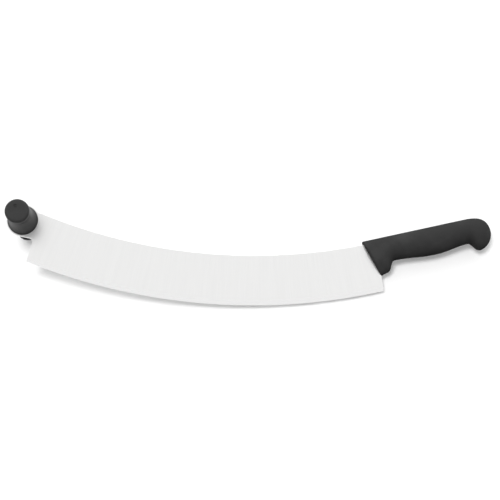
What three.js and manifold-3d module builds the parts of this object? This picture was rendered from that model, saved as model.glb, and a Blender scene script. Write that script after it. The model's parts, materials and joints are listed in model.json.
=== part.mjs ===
// A two-handled curved cheese knife lying on a table, in millimetres with +Z up.
// A crescent blade has a moulded handle on its tang and a cross-grip through its tip tongue.
import * as THREE from 'three';
import { mergeVertices } from 'three/addons/utils/BufferGeometryUtils.js';
import Module from 'manifold-3d';

const wasm = await Module();
wasm.setup();

// Blade, drawn in its own plane: origin on the cross-grip's axis, x to the main handle, y to the spine.
const BLADE_THICKNESS = 2.5;
const BLADE_WIDTH = 53; // edge to spine at the belly
const EDGE_RADIUS = 630; // curve of the cutting edge
const SPINE_RADIUS = 582; // curve of the spine
const BELLY_X = 226; // place of the belly along the blade
const SPINE_DROP = 30.4; // spine below the cross-grip's axis, at the belly
const BEVEL_WIDTH = 4; // ground bevel on each side of the edge
const EDGE_LAND = 0.4; // thickness left at the cutting edge
const TIP_X = 6; // lower corner of the blade's free end
const TIP_LEAN = 14.5; // degrees, free end off the upright
const HEEL_SET = 0.4; // heel behind the guard's tip
const HEEL_LEAN = 9; // degrees, heel off the upright
const TONGUE_RIM = 1.3; // round end of the tongue seen past the cross-grip's base
const TONGUE_SLOPE = 10; // degrees, lower side of the tongue
const NECK_FILLET = 4.5; // between tongue and free end
const SPINE_FILLET = 9; // between tongue and spine

// Tang, drawn on the handle's own axes: s along its straight back, t down from it.
const TANG_END = 104; // from the handle's front corner
const TANG_BOTTOM = 20; // below the handle's back
const TANG_SHOULDER = 4; // full blade width inside the handle
const LOCK_HOLE_RADIUS = 4; // holes that the moulded handle flows through
const LOCK_HOLE_FIRST = 42; // from the handle's front corner
const LOCK_HOLE_PITCH = 34;
const LOCK_HOLE_COUNT = 2;

// Main handle, with the key points of its side view on the same axes.
const HANDLE_X = 358.3; // front corner of the back, along the blade
const BACK_PROUD = 3.5; // front corner of the back above the spine
const HANDLE_RISE = 14.1; // degrees, back of the handle off the blade's x axis
const HANDLE_LENGTH = 139.7;
const HANDLE_THICKNESS = 24;
const HANDLE_FRONT_THICKNESS = 19;
const FRONT_ROUND = 1.5; // eased edge round the front face
const GUARD_TIP_S = 11.3;
const GUARD_TIP_T = 40.5;
const GUARD_BACK_S = 18.9;
const GUARD_BACK_T = 38.4;
const NOTCH_S = 30.2; // finger notch behind the guard
const NOTCH_T = 27.1;
const SWELL_S = 75.6; // palm swell
const SWELL_T = 30.4;
const WAIST_S = 112.4; // hollow before the hook
const WAIST_T = 26.6;
const HOOK_S = 122.8; // lowest point of the pommel hook
const HOOK_T = 36.1;
const REAR_T = 18; // rearmost point of the pommel
const BACK_STRAIGHT = 115;
const BEND_LEAD = 0.39; // share of an underside bend that leaves and arrives level
const POMMEL_LEAD = 0.6; // share of the back's turn that leaves straight
const POMMEL_ARRIVAL = 0.2; // share of the rear's depth where the back's turn arrives
const THICKEN_SHARE = 0.4; // share of the length over which the handle thickens
const ROUND_SHARE = 0.8; // share of the length where its sides start to round off
const SECTION_POWER = 2.05; // 2 is an ellipse, more is boxier

// Cross-grip: two turned halves, one on each side of the tongue.
const GRIP_HALF_LENGTH = 45.5; // blade's middle plane to the end face
const GRIP_BASE_RADIUS = 15.9;
const GRIP_FLARE_RADIUS = 12.6; // where the flare above the base aims
const GRIP_FLARE_HEIGHT = 6;
const GRIP_SHOULDER_RADIUS = 11.75; // end of the flared body
const GRIP_SHOULDER_HEIGHT = 33.2;
const GRIP_NECK_RADIUS = 11.3; // cove below the head
const GRIP_NECK_HEIGHT = 35.2;
const GRIP_HEAD_RADIUS = 12.5;
const GRIP_HEAD_HEIGHT = 37.3; // where the head starts
const GRIP_END_ROUND = 3.4;
const GRIP_BASE_ROUND = 0.8;

// Fixings inside the cross-grip.
const STUD_RADIUS = 3.7;
const STUD_HALF_LENGTH = 22;
const STUD_CHAMFER = 0.8;
const INSERT_RADIUS = 6.2;
const INSERT_LENGTH = 18;
const INSERT_DEPTH = 3; // below the grip's seat
const INSERT_GROOVE_WIDTH = 4; // ring of moulding that locks the insert
const INSERT_GROOVE_DEPTH = 1;
const BORE_SPARE = 2; // empty depth beyond the stud

const FIT = 0.3; // clearance between touching pieces
const CUT = 1; // how far a cutter runs past what it cuts

// Fineness of the facets.
const ARC_STEPS = 16;
const LATHE_STEPS = 36;
const BORE_STEPS = 18;
const PROFILE_STEPS = 4;
const RIB_COUNT = 36;
const RIB_POINTS = 24;
const REST_ROUNDS = 16;

const radians = THREE.MathUtils.degToRad;
const point = (x, y) => new THREE.Vector2(x, y);
const heading = (degrees) => point(Math.cos(radians(degrees)), Math.sin(radians(degrees)));
const ahead = (start, way, distance) => start.clone().addScaledVector(way, distance);
const leftOf = (way) => point(-way.y, way.x);
const angleFrom = (centre, p) => Math.atan2(p.y - centre.y, p.x - centre.x);

// Geometry helpers in the plane.

/** Crossing of two lines, each given by a point and a direction. */
function linesMeet(p, way, q, otherWay) {
  const between = q.clone().sub(p);
  return ahead(p, way, between.cross(otherWay) / way.cross(otherWay));
}

/** Crossing of two circles on the right of the way from the first centre to the second. */
function circlesMeet(a, radiusA, b, radiusB) {
  const distance = a.distanceTo(b);
  const way = b.clone().sub(a).normalize();
  const along = (radiusA ** 2 - radiusB ** 2 + distance ** 2) / (2 * distance);
  const aside = Math.sqrt(radiusA ** 2 - along ** 2);
  return ahead(ahead(a, way, along), leftOf(way), -aside);
}

/** First crossing of a line with a circle, met in the line's direction from outside or inside. */
function lineMeetsCircle(p, way, centre, radius) {
  const toCentre = centre.clone().sub(p);
  const along = toCentre.dot(way);
  const half = Math.sqrt(radius ** 2 - (toCentre.lengthSq() - along ** 2));
  const near = along - half;
  return ahead(p, way, near > 0 ? near : along + half);
}

// Blade outline.

const origin = point(0, 0);
const edgeCentre = point(BELLY_X, EDGE_RADIUS - BLADE_WIDTH - SPINE_DROP);
const spineCentre = point(BELLY_X, SPINE_RADIUS - SPINE_DROP);
const tongueRadius = GRIP_BASE_RADIUS + TONGUE_RIM;
const upright = 90;

/** Point of a circle's lower half at a place along the blade. */
const below = (centre, radius, x) => point(x, centre.y - Math.sqrt(radius ** 2 - (x - centre.x) ** 2));

const tip = below(edgeCentre, EDGE_RADIUS, TIP_X);
const backStart = below(spineCentre, SPINE_RADIUS, HANDLE_X).add(point(0, BACK_PROUD));
const handleAlong = heading(HANDLE_RISE);
const handleDown = leftOf(handleAlong).negate();

/** Point of the blade's plane at s along the handle's back and t below it. */
const onHandle = (s, t) => ahead(ahead(backStart, handleAlong, s), handleDown, t);

const guardTip = onHandle(GUARD_TIP_S, GUARD_TIP_T);
const heelWay = heading(upright + HEEL_LEAN);
const heelFoot = lineMeetsCircle(
  guardTip.clone().add(point(HEEL_SET, 0)), heelWay.clone().negate(), edgeCentre, EDGE_RADIUS,
);

/** How far below the handle's back a point lies. */
const belowBack = (p) => p.clone().sub(backStart).dot(handleDown);

/** Corners of the blade inside the handle, from the heel round to the spine, grown by a clearance. */
function tangCorners(grow) {
  const frontWay = guardTip.clone().sub(backStart).normalize();
  const heelStart = ahead(heelFoot, leftOf(heelWay), -grow);
  const shoulderStart = ahead(backStart, leftOf(frontWay), TANG_SHOULDER + grow);
  const spineEnd = lineMeetsCircle(backStart, frontWay, spineCentre, SPINE_RADIUS);
  const top = belowBack(spineEnd) - grow;
  const bottom = TANG_BOTTOM + grow;
  const end = TANG_END + grow;
  const lowerSide = onHandle(0, bottom);
  return {
    spineEnd,
    heelTop: linesMeet(heelStart, heelWay, shoulderStart, frontWay),
    lowerFront: linesMeet(lowerSide, handleAlong, shoulderStart, frontWay),
    lowerEnd: onHandle(end, bottom),
    upperEnd: onHandle(end, top),
    upperFront: onHandle(0, top),
    heelStart,
  };
}

/** Round holes in the tang, with their radius reduced by a clearance. */
function lockHoles(shrink) {
  const middle = (TANG_BOTTOM + belowBack(tangCorners(0).spineEnd)) / 2;
  return Array.from({ length: LOCK_HOLE_COUNT }, (_, i) => {
    const centre = onHandle(LOCK_HOLE_FIRST + i * LOCK_HOLE_PITCH, middle);
    return roundHole(centre, LOCK_HOLE_RADIUS - shrink);
  });
}

/** A round hole of an outline. */
function roundHole(centre, radius) {
  const hole = new THREE.Path();
  hole.absarc(centre.x, centre.y, radius, 0, 2 * Math.PI, false);
  return hole;
}

/** Adds an arc to an outline from one point to another. */
function arcTo(shape, centre, from, to, clockwise) {
  const radius = centre.distanceTo(from);
  shape.absarc(centre.x, centre.y, radius, angleFrom(centre, from), angleFrom(centre, to), clockwise);
}

/** Outline of the whole blade with its tang, its tongue and their holes. */
function bladeOutline() {
  const tipWay = heading(upright - TIP_LEAN);
  const tongueWay = heading(-TONGUE_SLOPE);
  const tongueLow = leftOf(tongueWay).multiplyScalar(-tongueRadius);
  const neckCentre = linesMeet(
    ahead(tongueLow, leftOf(tongueWay), -NECK_FILLET),
    tongueWay,
    ahead(tip, leftOf(tipWay), NECK_FILLET),
    tipWay,
  );
  const neckTop = ahead(neckCentre, leftOf(tongueWay), NECK_FILLET);
  const neckSide = ahead(neckCentre, leftOf(tipWay), -NECK_FILLET);
  const filletCentre = circlesMeet(
    origin, tongueRadius + SPINE_FILLET, spineCentre, SPINE_RADIUS - SPINE_FILLET,
  );
  const filletWay = filletCentre.clone().sub(spineCentre).normalize();
  const filletOnSpine = ahead(spineCentre, filletWay, SPINE_RADIUS);
  const filletOnTongue = filletCentre.clone().setLength(tongueRadius);
  const tang = tangCorners(0);

  const shape = new THREE.Shape();
  shape.moveTo(tip.x, tip.y);
  arcTo(shape, edgeCentre, tip, tang.heelStart, false);
  for (const corner of [tang.heelTop, tang.lowerFront, tang.lowerEnd, tang.upperEnd, tang.spineEnd]) {
    shape.lineTo(corner.x, corner.y);
  }
  arcTo(shape, spineCentre, tang.spineEnd, filletOnSpine, true);
  arcTo(shape, filletCentre, filletOnSpine, filletOnTongue, true);
  arcTo(shape, origin, filletOnTongue, tongueLow, false);
  shape.lineTo(neckTop.x, neckTop.y);
  arcTo(shape, neckCentre, neckTop, neckSide, true);
  shape.closePath();
  shape.holes = [roundHole(origin, STUD_RADIUS + FIT), ...lockHoles(0)];
  return shape;
}

// Solids, booleans and meshes.

/** Plate of an outline, centred on the blade's plane. */
function plate(shape, thickness) {
  const geometry = new THREE.ExtrudeGeometry(shape, {
    depth: thickness, bevelEnabled: false, curveSegments: ARC_STEPS,
  });
  return geometry.translate(0, 0, -thickness / 2);
}

/** Closed solid of a geometry, for cutting. */
function solidOf(geometry) {
  const bare = geometry.clone();
  bare.deleteAttribute('normal');
  bare.deleteAttribute('uv');
  const merged = mergeVertices(bare);
  return new wasm.Manifold(new wasm.Mesh({
    numProp: 3,
    vertProperties: new Float32Array(merged.attributes.position.array),
    triVerts: new Uint32Array(merged.index.array),
  }));
}

/** Geometry of a solid. */
function geometryOf(solid) {
  const mesh = solid.getMesh();
  const geometry = new THREE.BufferGeometry();
  geometry.setAttribute('position', new THREE.BufferAttribute(mesh.vertProperties, 3));
  geometry.setIndex(new THREE.BufferAttribute(mesh.triVerts, 1));
  geometry.computeVertexNormals();
  return geometry;
}

/** Named mesh of a geometry. */
function piece(name, geometry, material) {
  const mesh = new THREE.Mesh(geometry, material);
  mesh.name = name;
  return mesh;
}

// Blade.

/** The cutting edge as a path from one angle to another. */
class EdgePath extends THREE.Curve {
  constructor(start, end) {
    super();
    this.start = start;
    this.end = end;
  }

  getPoint(share, target = new THREE.Vector3()) {
    const angle = THREE.MathUtils.lerp(this.start, this.end, share);
    const x = edgeCentre.x + EDGE_RADIUS * Math.cos(angle);
    const y = edgeCentre.y + EDGE_RADIUS * Math.sin(angle);
    return target.set(x, y, 0);
  }
}

/** Wedge that grinds the bevel on one side of the edge: side is 1 above the blade, -1 below it. */
function bevelCutter(side) {
  const past = CUT / EDGE_RADIUS;
  const start = angleFrom(edgeCentre, tip) - past;
  const end = angleFrom(edgeCentre, heelFoot) + past;
  const slope = (BLADE_THICKNESS - EDGE_LAND) / 2 / BEVEL_WIDTH;
  const inner = BLADE_THICKNESS / 2 + CUT * slope;
  const outer = EDGE_LAND / 2 - CUT * slope;
  const section = new THREE.Shape([
    point(-side * outer, -CUT),
    point(-side * inner, BEVEL_WIDTH + CUT),
    point(-side * inner, -CUT),
  ]);
  return new THREE.ExtrudeGeometry(section, {
    steps: 2 * ARC_STEPS, bevelEnabled: false, extrudePath: new EdgePath(start, end),
  });
}

/** Blade ground on both sides of its edge. */
function bladeGeometry() {
  let solid = solidOf(plate(bladeOutline(), BLADE_THICKNESS));
  for (const side of [1, -1]) {
    solid = solid.subtract(solidOf(bevelCutter(side)));
  }
  return geometryOf(solid);
}

// Main handle.

/** Cubic curve between two points that leaves and arrives by two control points. */
const bend = (...points) => new THREE.CubicBezierCurve(...points);

/** Level S-curve between two key points of the handle's underside, each given as s and t. */
function levelBend(s, t, endS, endT) {
  const lead = (endS - s) * BEND_LEAD;
  return bend(point(s, t), point(s + lead, t), point(endS - lead, endT), point(endS, endT));
}

/** Back of the handle, from its front corner to the rearmost point. */
function backCurve() {
  const path = new THREE.CurvePath();
  const turn = point(BACK_STRAIGHT, 0);
  const rear = point(HANDLE_LENGTH, REAR_T);
  const leave = point(BACK_STRAIGHT + (HANDLE_LENGTH - BACK_STRAIGHT) * POMMEL_LEAD, 0);
  const arrive = point(HANDLE_LENGTH, REAR_T * POMMEL_ARRIVAL);
  path.add(new THREE.LineCurve(point(0, 0), turn));
  path.add(bend(turn, leave, arrive, rear));
  return path;
}

/** Underside of the handle, from the guard's tip to the rearmost point. */
function undersideCurve() {
  const path = new THREE.CurvePath();
  const guardBack = point(GUARD_BACK_S, GUARD_BACK_T);
  const guardRise = (NOTCH_S - GUARD_BACK_S) / 2;
  const hookLead = (HANDLE_LENGTH - HOOK_S) / 2;
  path.add(new THREE.LineCurve(point(GUARD_TIP_S, GUARD_TIP_T), guardBack));
  path.add(bend(
    guardBack,
    point(GUARD_BACK_S + guardRise, GUARD_BACK_T),
    point(NOTCH_S - guardRise, NOTCH_T),
    point(NOTCH_S, NOTCH_T),
  ));
  path.add(levelBend(NOTCH_S, NOTCH_T, SWELL_S, SWELL_T));
  path.add(levelBend(SWELL_S, SWELL_T, WAIST_S, WAIST_T));
  path.add(levelBend(WAIST_S, WAIST_T, HOOK_S, HOOK_T));
  path.add(bend(
    point(HOOK_S, HOOK_T),
    point(HOOK_S + hookLead, HOOK_T),
    point(HANDLE_LENGTH, (HOOK_T + REAR_T) / 2),
    point(HANDLE_LENGTH, REAR_T),
  ));
  return path;
}

/** Half thickness of the handle at a share of its length. */
function halfThickness(share) {
  const thickening = THREE.MathUtils.smoothstep(share, 0, THICKEN_SHARE);
  const half = THREE.MathUtils.lerp(HANDLE_FRONT_THICKNESS, HANDLE_THICKNESS, thickening) / 2;
  const rounding = Math.max(0, (share - ROUND_SHARE) / (1 - ROUND_SHARE));
  return half * Math.sqrt(1 - rounding ** 2);
}

/** Ring of points round the handle: one rib between its back and its underside. */
function rib(top, bottom, half) {
  const middle = top.clone().add(bottom).divideScalar(2);
  const reach = top.clone().sub(middle);
  return Array.from({ length: RIB_POINTS }, (_, i) => {
    const turn = (i / RIB_POINTS) * 2 * Math.PI;
    const rounded = (value) => Math.sign(value) * Math.abs(value) ** (2 / SECTION_POWER);
    const place = ahead(middle, reach, rounded(Math.cos(turn)));
    const inPlane = onHandle(place.x, place.y);
    return new THREE.Vector3(inPlane.x, inPlane.y, half * rounded(Math.sin(turn)));
  });
}

/** Closed skin over a row of rings, from a flat first ring to a last point. */
function skin(rings, pole) {
  const count = rings[0].length;
  const hub = new THREE.Vector3();
  rings[0].forEach((corner) => hub.addScaledVector(corner, 1 / count));
  const vertices = [...rings.flat(), hub, pole];
  const hubIndex = vertices.length - 2;
  const last = (rings.length - 1) * count;
  const faces = [];
  for (let j = 0; j < count; j += 1) {
    const next = (j + 1) % count;
    faces.push(hubIndex, next, j);
    faces.push(hubIndex + 1, last + j, last + next);
    for (let row = 0; row < last; row += count) {
      faces.push(row + j, row + next, row + count + j);
      faces.push(row + next, row + count + next, row + count + j);
    }
  }
  const geometry = new THREE.BufferGeometry().setFromPoints(vertices);
  geometry.setIndex(faces);
  return geometry;
}

/** Handle without its pocket: ribs between the back and the underside at equal shares of both. */
function handleBody() {
  const back = backCurve();
  const underside = undersideCurve();
  const easing = FRONT_ROUND / back.getLength();
  const rings = [];
  const top = back.getPoint(0);
  const bottom = underside.getPoint(0);
  const inset = FRONT_ROUND / top.distanceTo(bottom);
  rings.push(rib(
    top.clone().lerp(bottom, inset),
    bottom.clone().lerp(top, inset),
    halfThickness(0) - FRONT_ROUND,
  ));
  for (let i = 0; i < RIB_COUNT; i += 1) {
    const share = Math.sin(((i / RIB_COUNT) * Math.PI) / 2) * (1 - easing) + easing;
    rings.push(rib(back.getPoint(share), underside.getPoint(share), halfThickness(share)));
  }
  const rear = onHandle(HANDLE_LENGTH, REAR_T);
  return skin(rings, new THREE.Vector3(rear.x, rear.y, 0));
}

/** Pocket that the tang fills, open at the handle's front. */
function tangPocket() {
  const grown = tangCorners(FIT);
  const forward = TANG_SHOULDER + FRONT_ROUND + CUT;
  const low = linesMeet(grown.heelStart, heelWay, onHandle(0, GUARD_TIP_T + CUT), handleAlong);
  const lowOut = ahead(low, handleAlong, -forward);
  const highOut = ahead(grown.upperFront, handleAlong, -forward);
  const shape = new THREE.Shape(
    [lowOut, low, grown.heelTop, grown.lowerFront, grown.lowerEnd, grown.upperEnd, highOut],
  );
  shape.holes = lockHoles(FIT);
  return plate(shape, BLADE_THICKNESS + 2 * FIT);
}

/** Handle with its pocket cut and its locking posts left standing. */
function handleGeometry() {
  return geometryOf(solidOf(handleBody()).subtract(solidOf(tangPocket())));
}

// Cross-grip.

const seat = BLADE_THICKNESS / 2 + FIT;
const insertStart = seat + INSERT_DEPTH;
const insertEnd = insertStart + INSERT_LENGTH;
const grooveStart = (insertStart + insertEnd - INSERT_GROOVE_WIDTH) / 2;
const grooveEnd = grooveStart + INSERT_GROOVE_WIDTH;
const boreRadius = STUD_RADIUS + FIT;

/** Solid turned from a profile of radius and height, about the upright axis. */
function turned(profile, steps) {
  return new THREE.LatheGeometry(profile, steps).rotateX(radians(upright));
}

/** Outside of one grip half, from its seat to the middle of its end face. */
function gripOutside() {
  const path = new THREE.Path();
  const endFlat = GRIP_HEAD_RADIUS - GRIP_END_ROUND;
  const headTop = GRIP_HALF_LENGTH - GRIP_END_ROUND;
  path.moveTo(GRIP_BASE_RADIUS - GRIP_BASE_ROUND, seat);
  path.quadraticCurveTo(GRIP_BASE_RADIUS, seat, GRIP_BASE_RADIUS, seat + GRIP_BASE_ROUND);
  path.quadraticCurveTo(GRIP_FLARE_RADIUS, GRIP_FLARE_HEIGHT, GRIP_SHOULDER_RADIUS, GRIP_SHOULDER_HEIGHT);
  path.quadraticCurveTo(GRIP_NECK_RADIUS, GRIP_SHOULDER_HEIGHT, GRIP_NECK_RADIUS, GRIP_NECK_HEIGHT);
  path.quadraticCurveTo(GRIP_NECK_RADIUS, GRIP_HEAD_HEIGHT, GRIP_HEAD_RADIUS, GRIP_HEAD_HEIGHT);
  path.lineTo(GRIP_HEAD_RADIUS, headTop);
  path.quadraticCurveTo(GRIP_HEAD_RADIUS, GRIP_HALF_LENGTH, endFlat, GRIP_HALF_LENGTH);
  path.lineTo(0, GRIP_HALF_LENGTH);
  return path.getPoints(PROFILE_STEPS);
}

/** One grip half, with the seat for its insert and the end of the stud. */
function gripGeometry() {
  const holder = INSERT_RADIUS + FIT;
  const ring = holder - INSERT_GROOVE_DEPTH;
  const bore = [
    point(0, STUD_HALF_LENGTH + BORE_SPARE),
    point(boreRadius, STUD_HALF_LENGTH + BORE_SPARE),
    point(boreRadius, insertEnd + FIT),
    point(holder, insertEnd + FIT),
    point(holder, grooveEnd - FIT),
    point(ring, grooveEnd - FIT),
    point(ring, grooveStart + FIT),
    point(holder, grooveStart + FIT),
    point(holder, insertStart - FIT),
    point(boreRadius, insertStart - FIT),
    point(boreRadius, seat),
  ];
  return turned([...bore, ...gripOutside()], LATHE_STEPS);
}

/** Threaded insert moulded into one grip half. */
function insertGeometry() {
  const groove = INSERT_RADIUS - INSERT_GROOVE_DEPTH;
  const profile = [
    point(boreRadius, insertStart),
    point(INSERT_RADIUS, insertStart),
    point(INSERT_RADIUS, grooveStart),
    point(groove, grooveStart),
    point(groove, grooveEnd),
    point(INSERT_RADIUS, grooveEnd),
    point(INSERT_RADIUS, insertEnd),
    point(boreRadius, insertEnd),
    point(boreRadius, insertStart),
  ];
  return turned(profile, BORE_STEPS);
}

/** Stud through the tongue into both inserts. */
function studGeometry() {
  const shoulder = STUD_HALF_LENGTH - STUD_CHAMFER;
  const profile = [
    point(0, -STUD_HALF_LENGTH),
    point(STUD_RADIUS - STUD_CHAMFER, -STUD_HALF_LENGTH),
    point(STUD_RADIUS, -shoulder),
    point(STUD_RADIUS, shoulder),
    point(STUD_RADIUS - STUD_CHAMFER, STUD_HALF_LENGTH),
    point(0, STUD_HALF_LENGTH),
  ];
  return turned(profile, BORE_STEPS);
}

// Assembly in the blade's frame.

const steel = new THREE.MeshStandardMaterial({ color: 0xd8d8d6, roughness: 0.3, metalness: 1 });
const polymer = new THREE.MeshStandardMaterial({ color: 0x1d1d1e, roughness: 0.5, metalness: 0 });
const brass = new THREE.MeshStandardMaterial({ color: 0xb5923f, roughness: 0.35, metalness: 1 });

const lowerHalf = new THREE.Group();
lowerHalf.rotation.x = Math.PI;
lowerHalf.add(
  piece('lower_grip', gripGeometry(), polymer),
  piece('lower_insert', insertGeometry(), brass),
);

const knife = new THREE.Group();
knife.add(
  piece('blade', bladeGeometry(), steel),
  piece('main_handle', handleGeometry(), polymer),
  piece('upper_grip', gripGeometry(), polymer),
  piece('upper_insert', insertGeometry(), brass),
  piece('grip_stud', studGeometry(), steel),
  lowerHalf,
);

// The lie on a table: the lower grip, the edge and the handle touch it.

/** Corners of a mesh in the blade's frame. */
function cornersOf(name) {
  const mesh = knife.getObjectByName(name);
  const { position } = mesh.geometry.attributes;
  return Array.from({ length: position.count }, (_, i) => (
    new THREE.Vector3().fromBufferAttribute(position, i).applyMatrix4(mesh.matrixWorld)
  ));
}

/** Direction away from the table, in the blade's frame. */
function tableNormal() {
  knife.updateMatrixWorld(true);
  const touching = ['lower_grip', 'blade', 'main_handle'].map(cornersOf);
  const lowest = (corners, up) => corners.reduce((a, b) => (b.dot(up) < a.dot(up) ? b : a));
  let up = new THREE.Vector3(0, 0, 1);
  for (let round = 0; round < REST_ROUNDS; round += 1) {
    const feet = touching.map((corners) => lowest(corners, up));
    const across = feet[1].clone().sub(feet[0]);
    up = across.cross(feet[2].clone().sub(feet[0])).normalize();
  }
  return up;
}

const up = tableNormal();
const across = new THREE.Vector3(1, 0, 0).projectOnPlane(up).normalize();
const toSpine = up.clone().cross(across);
const lie = new THREE.Matrix4().makeBasis(across, toSpine, up).transpose();
knife.setRotationFromMatrix(lie);
knife.updateMatrixWorld(true);
const box = new THREE.Box3().setFromObject(knife, true);
const middle = box.getCenter(new THREE.Vector3());
knife.position.set(-middle.x, -middle.y, -box.min.z);

const cheeseKnife = new THREE.Group();
cheeseKnife.add(knife);

export default cheeseKnife;
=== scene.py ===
"""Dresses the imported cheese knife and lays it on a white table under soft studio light."""
import json
import logging
import math
from collections.abc import Callable, Iterable, Sequence
from dataclasses import dataclass, field
from enum import Enum
from typing import Any

import bmesh
import bpy
from mathutils import Matrix, Vector


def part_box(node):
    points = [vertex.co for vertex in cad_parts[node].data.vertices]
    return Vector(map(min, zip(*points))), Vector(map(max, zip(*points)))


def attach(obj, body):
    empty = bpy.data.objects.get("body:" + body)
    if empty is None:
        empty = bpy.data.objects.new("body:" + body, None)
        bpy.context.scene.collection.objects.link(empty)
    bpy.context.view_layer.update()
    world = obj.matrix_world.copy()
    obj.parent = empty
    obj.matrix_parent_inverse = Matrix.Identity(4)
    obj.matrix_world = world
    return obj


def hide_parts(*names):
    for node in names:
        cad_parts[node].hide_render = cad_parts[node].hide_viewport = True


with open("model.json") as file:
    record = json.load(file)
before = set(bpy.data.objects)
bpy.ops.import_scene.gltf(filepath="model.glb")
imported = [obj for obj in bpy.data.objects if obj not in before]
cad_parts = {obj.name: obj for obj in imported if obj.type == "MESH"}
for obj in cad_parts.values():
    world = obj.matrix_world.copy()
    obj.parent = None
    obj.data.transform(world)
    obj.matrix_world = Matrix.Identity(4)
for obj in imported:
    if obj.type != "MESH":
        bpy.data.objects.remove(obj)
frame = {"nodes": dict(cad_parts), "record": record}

LOG = logging.getLogger("cheese_knife")
BODY = "root"
# One millimetre in metres
MM = 0.001
# Points closer than this, in millimetres, are one point
NEAR = 0.01
# Length of a through cutter over the depth of what it shapes
CUT_THROUGH = 4
UP = Vector((0.0, 0.0, 1.0))
Colour = tuple[float, float, float, float]


class Slot(str, Enum):
    """Names that the record gives its finishes, one for each kind of new piece."""

    BLADE = "blade_steel"
    HANDLE = "handle_polymer"
    GRIP = "grip_polymer"


class Element(Enum):
    """What edit mode selects."""

    POINT = "VERT"
    EDGE = "EDGE"


def grey(level: float) -> Colour:
    """Neutral colour of one level."""
    return (level, level, level, 1.0)


def lerp(start: float, end: float, share: float) -> float:
    """Value at a share of the way from start to end."""
    return start + (end - start) * share


def smooth(value: float, low: float, high: float) -> float:
    """Smooth step from 0 at low to 1 at high."""
    share = min(1.0, max(0.0, (value - low) / (high - low)))
    return share * share * (3 - 2 * share)


def heading(degrees: float) -> Vector:
    """Direction in the blade's plane at an angle from the blade's x axis."""
    turn = math.radians(degrees)
    return Vector((math.cos(turn), math.sin(turn), 0.0))


def left_of(way: Vector) -> Vector:
    """Direction a quarter turn to the left in the blade's plane."""
    return Vector((-way.y, way.x, 0.0))


def cross(a: Vector, b: Vector) -> float:
    """Cross product of two directions in the blade's plane."""
    return a.x * b.y - a.y * b.x


def lines_meet(p: Vector, way: Vector, q: Vector, other: Vector) -> Vector:
    """Crossing of two lines, each given by a point and a direction."""
    return p + way * (cross(q - p, other) / cross(way, other))


def line_meets_circle(p: Vector, way: Vector, centre: Vector, radius: float) -> Vector:
    """First crossing of a line with a circle, going along the line.

    Args:
        p: where the line starts.
        way: its direction, one unit long.
        centre: the circle's middle.
        radius: the circle's radius.

    Returns:
        The crossing.
    """
    along = (centre - p).dot(way)
    half = math.sqrt(radius**2 - ((centre - p).length_squared - along**2))
    return p + way * (along - half if along > half else along + half)


def circles_meet(a: Vector, radius_a: float, b: Vector, radius_b: float) -> Vector:
    """Crossing of two circles on the right of the way from the first centre to the second.

    Args:
        a: the first circle's middle.
        radius_a: its radius.
        b: the second circle's middle.
        radius_b: its radius.

    Returns:
        The crossing.
    """
    way = (b - a).normalized()
    distance = (b - a).length
    along = (radius_a**2 - radius_b**2 + distance**2) / (2 * distance)
    return a + way * along - left_of(way) * math.sqrt(radius_a**2 - along**2)


def below(centre: Vector, radius: float, x: float) -> Vector:
    """Point of a circle's lower half at a place along the blade."""
    return Vector((x, centre.y - math.sqrt(radius**2 - (x - centre.x) ** 2), 0.0))


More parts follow.
